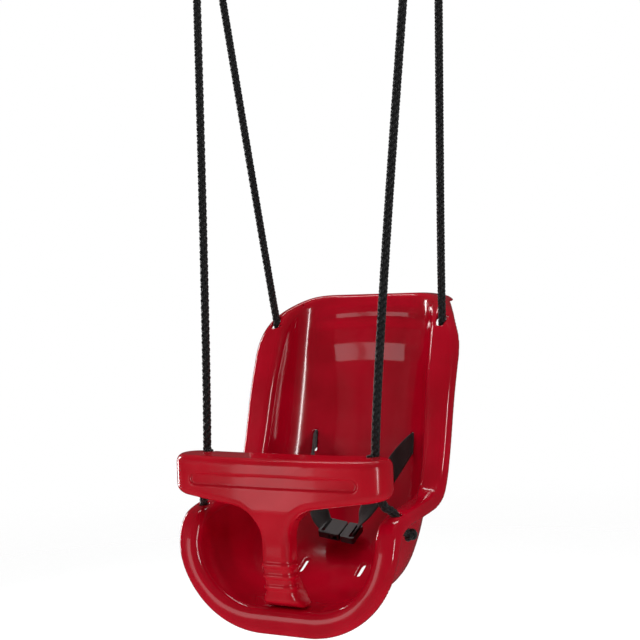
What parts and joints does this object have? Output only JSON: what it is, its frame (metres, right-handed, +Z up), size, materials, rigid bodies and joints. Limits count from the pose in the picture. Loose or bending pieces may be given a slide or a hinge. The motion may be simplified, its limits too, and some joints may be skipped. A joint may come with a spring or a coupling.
{
  "type": "toddler bucket swing",
  "caption": "Moulded bucket seat with a sliding T-bar and a lap belt, hung by four ropes from two steel rings.",
  "frame": {"origin": "halfway between the centres of the two steel rings that the swing hangs from", "axes": "+Z up, +Y towards the backrest, +X across the seat, to the right as seen from the front"},
  "size_m": [0.424, 0.3472, 1.213],
  "materials": {
    "red_shell": "glossy moulded polyethylene",
    "red_bar": "glossy blow-moulded polyethylene",
    "black_rope": "braided black polypropylene rope",
    "black_webbing": "woven black polypropylene webbing",
    "black_plastic": "satin black acetal",
    "zinc_steel": "zinc-plated steel"
  },
  "bodies": {
    "rings": {"ring_left": "zinc_steel", "ring_right": "zinc_steel"},
    "seat": {"seat_shell": "red_shell", "front_rope_left": "black_rope", "front_rope_right": "black_rope", "rear_rope_left": "black_rope", "rear_rope_right": "black_rope", "front_sleeve_left": "black_plastic", "front_sleeve_right": "black_plastic", "rear_sleeve_left": "black_plastic", "rear_sleeve_right": "black_plastic", "front_knot_left": "black_rope", "front_knot_right": "black_rope", "rear_knot_left": "black_rope", "rear_knot_right": "black_rope", "belt_left": "black_webbing", "belt_right": "black_webbing", "belt_back": "black_webbing", "buckle_socket": "black_plastic", "buckle_plug": "black_plastic"},
    "t_bar": {"t_bar": "red_bar"},
    "latch_front": {"buckle_latch_front": "black_plastic"},
    "latch_rear": {"buckle_latch_rear": "black_plastic"}
  },
  "joints": [
    {"name": "swing", "type": "hinge", "parent": "rings", "child": "seat", "pos_m": [0, 0, -0.03], "axis": [1, 0, 0], "range_deg": [-45, 45]},
    {"name": "bar_slide", "type": "slide", "parent": "seat", "child": "t_bar", "axis": [0, 0.1327, 0.9912], "range_m": [0, 0.24], "deforming": ["front_rope_left", "front_rope_right"]},
    {"name": "latch_rear_press", "type": "hinge", "parent": "seat", "child": "latch_rear", "pos_m": [0.00696, 0.02717, -1.07917], "axis": [0.1264, -0.4192, 0.899], "range_deg": [0, 7], "stiffness_Nm_per_rad": 0.02},
    {"name": "latch_front_press", "type": "hinge", "parent": "seat", "child": "latch_front", "pos_m": [0.00591, 0.01083, -1.08664], "axis": [0.1264, -0.4192, 0.899], "range_deg": [-7, 0], "stiffness_Nm_per_rad": 0.02}
  ],
  "couplings": [
    {"joint": "latch_front_press", "follows": "latch_rear_press", "ratio": -1}
  ]
}
